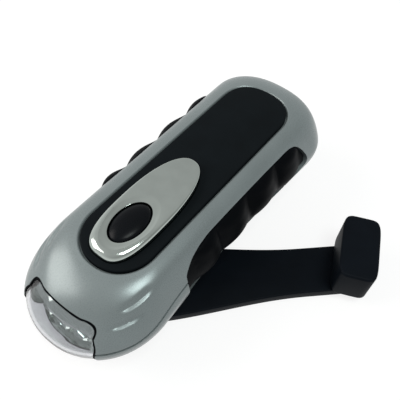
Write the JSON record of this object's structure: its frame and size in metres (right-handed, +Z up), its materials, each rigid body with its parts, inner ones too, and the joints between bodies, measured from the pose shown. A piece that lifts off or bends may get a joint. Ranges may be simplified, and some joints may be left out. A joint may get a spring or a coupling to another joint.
{
  "type": "hand crank flashlight",
  "caption": "Palm-sized torch with a side-folding hand crank underneath that drives a small geared generator, and a push button on top.",
  "frame": {"origin": "on the crank's turning axis, level with the flat underside of the crank hub, on which the part rests", "axes": "+Z up through the push button's side, -Y towards the lens, +Y towards the tail, +X to the right hand side seen from above with the tail away from the viewer"},
  "size_m": [0.0967, 0.1335, 0.046],
  "materials": {
    "body_silver": "satin silver lacquer on moulded plastic",
    "soft_black": "soft-touch black",
    "grip_rubber": "moulded black rubber",
    "chrome_plate": "bright plated plastic",
    "button_black": "satin black",
    "crank_black": "fine moulded black",
    "clear_lens": "clear moulded lens",
    "lamp_clear": "water-clear lamp body",
    "board_green": "circuit board",
    "switch_black": "moulded switch body",
    "steel": "plain steel",
    "gear_nylon": "natural nylon",
    "magnet_grey": "sintered magnet",
    "copper_wire": "enamelled copper winding"
  },
  "bodies": {
    "main": {"upper_shell": "body_silver", "lower_shell": "body_silver", "left_grip": "grip_rubber", "right_grip": "grip_rubber", "top_panel": "soft_black", "chrome_trim": "chrome_plate", "tact_switch": "switch_black", "switch_board": "board_green", "lens": "clear_lens", "reflector": "chrome_plate", "lamp_left": "lamp_clear", "lamp_middle": "lamp_clear", "lamp_right": "lamp_clear", "lamp_board": "board_green", "shaft_bush": "gear_nylon", "idler_1_pin": "steel", "idler_2_pin": "steel", "stator_can": "steel", "stator_coil": "copper_wire", "rotor_bridge": "steel", "gear_plate_lower": "steel", "gear_plate_upper": "gear_nylon", "frame_screw_1": "steel", "frame_screw_2": "steel", "frame_screw_3": "steel", "frame_screw_4": "steel", "battery_holder": "switch_black", "battery_cell_1": "steel", "battery_cell_2": "steel", "battery_cell_3": "steel", "battery_contact_left": "steel", "battery_contact_right": "steel", "case_screw_1": "steel", "case_screw_2": "steel", "case_screw_3": "steel", "case_screw_4": "steel"},
    "crank": {"crank_arm": "crank_black", "hub_cap": "crank_black", "hub_screw": "steel", "crank_shaft": "steel", "crank_gear": "gear_nylon", "knob_pin": "steel"},
    "knob": {"knob": "crank_black"},
    "button": {"button": "button_black", "switch_plunger": "gear_nylon"},
    "idler_1": {"idler_1": "gear_nylon"},
    "idler_2": {"idler_2": "gear_nylon"},
    "rotor": {"rotor_pinion": "steel", "rotor_magnet": "magnet_grey", "rotor_axle": "steel"}
  },
  "joints": [
    {"name": "crank_turn", "type": "hinge", "parent": "main", "child": "crank", "pos_m": [0, 0, 0], "axis": [0, 0, 1], "continuous": true},
    {"name": "knob_spin", "type": "hinge", "parent": "crank", "child": "knob", "pos_m": [0.06026, 0.05881, 0.005], "axis": [0, 0, 1], "continuous": true},
    {"name": "button_press", "type": "slide", "parent": "main", "child": "button", "axis": [0, 0, -1], "range_m": [0, 0.0012], "stiffness_N_per_m": 800, "springref_m": -0.0006},
    {"name": "idler_1_turn", "type": "hinge", "parent": "main", "child": "idler_1", "pos_m": [0, 0.0208, 0.015], "axis": [0, 0, 1], "continuous": true},
    {"name": "idler_2_turn", "type": "hinge", "parent": "main", "child": "idler_2", "pos_m": [0, 0.0058, 0.019], "axis": [0, 0, 1], "continuous": true},
    {"name": "rotor_turn", "type": "hinge", "parent": "main", "child": "rotor", "pos_m": [0, -0.008, 0.02], "axis": [0, 0, 1], "continuous": true}
  ],
  "couplings": [
    {"joint": "idler_1_turn", "follows": "crank_turn", "ratio": -3.3333},
    {"joint": "idler_2_turn", "follows": "crank_turn", "ratio": 13.333},
    {"joint": "rotor_turn", "follows": "crank_turn", "ratio": -48}
  ]
}
